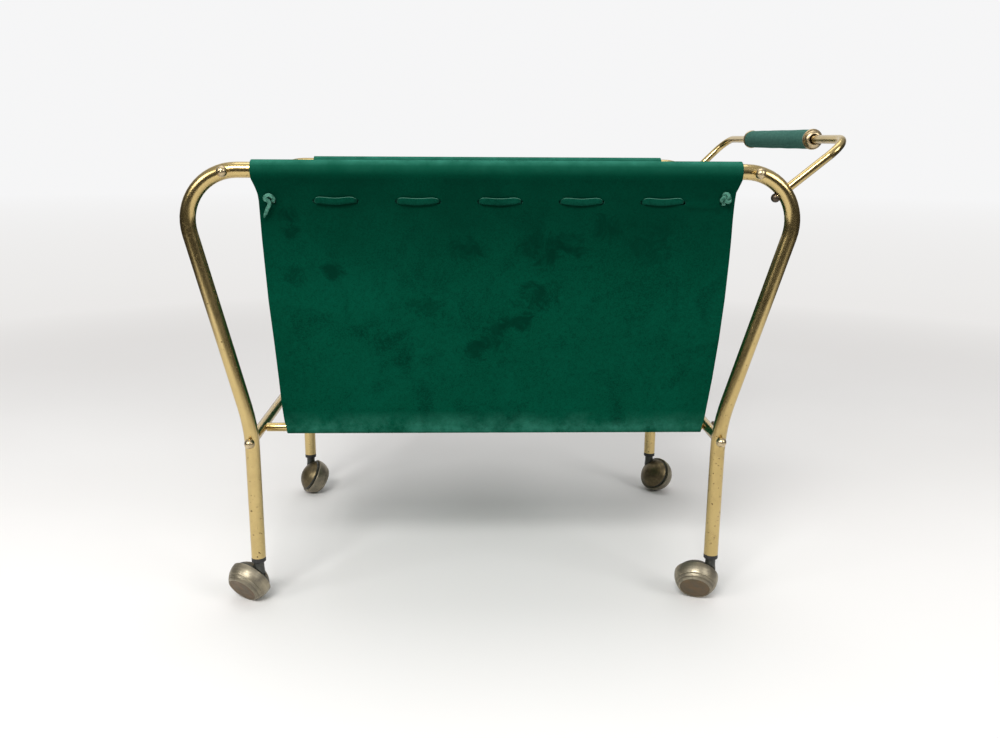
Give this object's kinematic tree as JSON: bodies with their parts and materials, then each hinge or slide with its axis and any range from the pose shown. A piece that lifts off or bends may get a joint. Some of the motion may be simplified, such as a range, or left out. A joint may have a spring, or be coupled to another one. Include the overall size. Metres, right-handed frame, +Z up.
{
  "type": "rolling magazine rack",
  "caption": "Rolling magazine rack: bent brass tube frames, a laced suede sling, a push handle with a suede grip, and hooded swivel ball casters.",
  "frame": {"origin": "on the floor, under the middle of the whole rack", "axes": "+X along the top bars towards the push handle, +Y from the front frame to the rear frame, +Z up"},
  "size_m": [0.6027, 0.3844, 0.464],
  "materials": {
    "brass_tube": "lacquered, bright, worn in spots",
    "brass_fitting": "polished",
    "dark_nut": "darkened",
    "steel": "zinc plated",
    "grip_core": "turned, unfinished",
    "grip_suede": "suede, greyed by hands",
    "sling_suede": "suede",
    "lace_suede": "suede thong",
    "black_plastic": "moulded",
    "hood_enamel": "worn black enamel",
    "hood_bronze": "antique bronze",
    "wheel_bronze": "worn antique bronze",
    "bush_plastic": "moulded",
    "hub_brown": "brown, dull"
  },
  "bodies": {
    "frame": {"front_frame": "brass_tube", "rear_frame": "brass_tube", "left_lower_brace": "brass_tube", "right_lower_brace": "brass_tube", "lower_brace_plugs": "steel", "left_top_spreader": "brass_tube", "right_top_spreader": "brass_tube", "front_bottom_rod": "brass_tube", "rear_bottom_rod": "brass_tube", "bottom_rod_nuts": "dark_nut", "lower_brace_screws": "brass_fitting", "top_spreader_screws": "brass_fitting", "handle_rod": "brass_tube", "handle_nuts": "dark_nut", "handle_grip_core": "grip_core", "handle_grip_cover": "grip_suede", "front_grip_ferrule": "brass_fitting", "rear_grip_ferrule": "brass_fitting", "sling": "sling_suede", "front_lace": "lace_suede", "rear_lace": "lace_suede", "front_left_socket": "black_plastic", "front_right_socket": "black_plastic", "rear_left_socket": "black_plastic", "rear_right_socket": "black_plastic"},
    "front_left_swivel": {"front_left_stem": "steel", "front_left_stem_clip": "steel", "front_left_hood": "hood_enamel", "front_left_hood_cap": "hood_bronze", "front_left_axle": "steel"},
    "front_left_wheel_body": {"front_left_wheel": "wheel_bronze", "front_left_wheel_bush": "bush_plastic", "front_left_hub_disc": "hub_brown"},
    "front_right_swivel": {"front_right_stem": "steel", "front_right_stem_clip": "steel", "front_right_hood": "hood_enamel", "front_right_hood_cap": "hood_bronze", "front_right_axle": "steel"},
    "front_right_wheel_body": {"front_right_wheel": "wheel_bronze", "front_right_wheel_bush": "bush_plastic", "front_right_hub_disc": "hub_brown"},
    "rear_left_swivel": {"rear_left_stem": "steel", "rear_left_stem_clip": "steel", "rear_left_hood": "hood_enamel", "rear_left_hood_cap": "hood_bronze", "rear_left_axle": "steel"},
    "rear_left_wheel_body": {"rear_left_wheel": "wheel_bronze", "rear_left_wheel_bush": "bush_plastic", "rear_left_hub_disc": "hub_brown"},
    "rear_right_swivel": {"rear_right_stem": "steel", "rear_right_stem_clip": "steel", "rear_right_hood": "hood_enamel", "rear_right_hood_cap": "hood_bronze", "rear_right_axle": "steel"},
    "rear_right_wheel_body": {"rear_right_wheel": "wheel_bronze", "rear_right_wheel_bush": "bush_plastic", "rear_right_hub_disc": "hub_brown"}
  },
  "joints": [
    {"name": "front_left_swivel_turn", "type": "hinge", "parent": "frame", "child": "front_left_swivel", "pos_m": [-0.2515, -0.1592, 0.0464], "axis": [0, 0, 1], "continuous": true},
    {"name": "front_left_wheel_spin", "type": "hinge", "parent": "front_left_swivel", "child": "front_left_wheel_body", "pos_m": [-0.26226, -0.15183, 0.0217], "axis": [-0.433, -0.75, -0.5], "continuous": true},
    {"name": "front_right_swivel_turn", "type": "hinge", "parent": "frame", "child": "front_right_swivel", "pos_m": [0.1985, -0.1592, 0.0464], "axis": [0, 0, 1], "continuous": true},
    {"name": "front_right_wheel_spin", "type": "hinge", "parent": "front_right_swivel", "child": "front_right_wheel_body", "pos_m": [0.18645, -0.15423, 0.0217], "axis": [-0.2676, -0.8236, -0.5], "continuous": true},
    {"name": "rear_left_swivel_turn", "type": "hinge", "parent": "frame", "child": "rear_left_swivel", "pos_m": [-0.2515, 0.1592, 0.0464], "axis": [0, 0, 1], "continuous": true},
    {"name": "rear_left_wheel_spin", "type": "hinge", "parent": "rear_left_swivel", "child": "rear_left_wheel_body", "pos_m": [-0.24755, 0.14677, 0.0217], "axis": [0.803, 0.3244, -0.5], "continuous": true},
    {"name": "rear_right_swivel_turn", "type": "hinge", "parent": "frame", "child": "rear_right_swivel", "pos_m": [0.1985, 0.1592, 0.0464], "axis": [0, 0, 1], "continuous": true},
    {"name": "rear_right_wheel_spin", "type": "hinge", "parent": "rear_right_swivel", "child": "rear_right_wheel_body", "pos_m": [0.20572, 0.14834, 0.0217], "axis": [0.6824, 0.5332, -0.5], "continuous": true}
  ]
}
